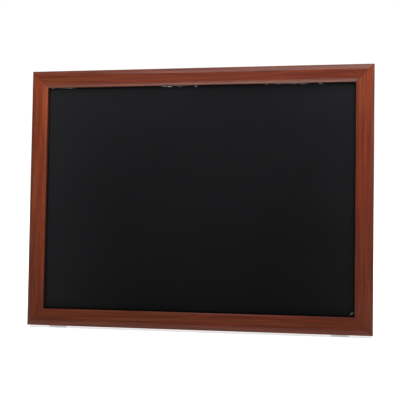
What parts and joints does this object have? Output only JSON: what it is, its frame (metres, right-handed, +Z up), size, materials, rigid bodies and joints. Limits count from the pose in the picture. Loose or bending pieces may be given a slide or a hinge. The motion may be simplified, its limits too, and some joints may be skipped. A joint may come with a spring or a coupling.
{
  "type": "table-top menu chalkboard easel",
  "caption": "Landscape black writing board in a stained wooden frame that stands on rubber feet and a folding rear leg frame.",
  "frame": {"origin": "on the table, under the centre of the whole object's box", "axes": "+Z up, the writing face looks towards -Y and leans back 10 degrees, +X to its viewer's right"},
  "size_m": [0.61, 0.2028, 0.4547],
  "materials": {
    "stained_moulding": "red-brown stain under satin lacquer",
    "stained_leg": "red-brown stain, satin",
    "chalk_black": "matt black writing surface",
    "hardboard": "raw pressed fibre",
    "corrugated_card": "raw card",
    "backing_panel": "smooth hardboard",
    "black_rubber": "moulded",
    "clear_rubber": "milky clear pad",
    "zinc_plate": "zinc plated",
    "screw_steel": "bright zinc",
    "spring_steel": "plain"
  },
  "bodies": {
    "frame": {"backing_board": "backing_panel", "bracket_screws": "screw_steel", "button_screws": "screw_steel", "chalk_sheet": "chalk_black", "core_board": "hardboard", "filler_board": "corrugated_card", "foot_left": "clear_rubber", "foot_right": "clear_rubber", "frame_bottom_rail": "stained_moulding", "frame_left_stile": "stained_moulding", "frame_right_stile": "stained_moulding", "frame_top_rail": "stained_moulding", "hanger_nails": "screw_steel", "leg_bracket_left": "zinc_plate", "leg_bracket_right": "zinc_plate", "pivot_bolts": "screw_steel", "pivot_nuts": "screw_steel", "pivot_washers": "screw_steel", "sawtooth_hanger": "zinc_plate", "v_nails": "spring_steel"},
    "leg_frame": {"leg_left": "stained_leg", "leg_right": "stained_leg", "leg_crossbar": "stained_leg", "crossbar_screws": "screw_steel", "leg_tip_left": "black_rubber", "leg_tip_right": "black_rubber"},
    "turn_button_1": {"turn_button_1": "zinc_plate"},
    "turn_button_2": {"turn_button_2": "zinc_plate"},
    "turn_button_3": {"turn_button_3": "zinc_plate"},
    "turn_button_4": {"turn_button_4": "zinc_plate"},
    "turn_button_5": {"turn_button_5": "zinc_plate"},
    "turn_button_6": {"turn_button_6": "zinc_plate"}
  },
  "joints": [
    {"name": "leg_fold", "type": "hinge", "parent": "frame", "child": "leg_frame", "pos_m": [0, 0.0011, 0.43885], "axis": [-1, 0, 0], "range_deg": [0, 22]},
    {"name": "button_1_turn", "type": "hinge", "parent": "frame", "child": "turn_button_1", "pos_m": [-0.075, -0.00624, 0.43811], "axis": [0, 0.9848, -0.1736], "continuous": true},
    {"name": "button_2_turn", "type": "hinge", "parent": "frame", "child": "turn_button_2", "pos_m": [0.075, -0.00624, 0.43811], "axis": [0, 0.9848, -0.1736], "continuous": true},
    {"name": "button_3_turn", "type": "hinge", "parent": "frame", "child": "turn_button_3", "pos_m": [0.291, -0.04349, 0.22687], "axis": [0, 0.9848, -0.1736], "continuous": true},
    {"name": "button_4_turn", "type": "hinge", "parent": "frame", "child": "turn_button_4", "pos_m": [0.075, -0.08073, 0.01563], "axis": [0, 0.9848, -0.1736], "continuous": true},
    {"name": "button_5_turn", "type": "hinge", "parent": "frame", "child": "turn_button_5", "pos_m": [-0.075, -0.08073, 0.01563], "axis": [0, 0.9848, -0.1736], "continuous": true},
    {"name": "button_6_turn", "type": "hinge", "parent": "frame", "child": "turn_button_6", "pos_m": [-0.291, -0.04349, 0.22687], "axis": [0, 0.9848, -0.1736], "continuous": true}
  ]
}
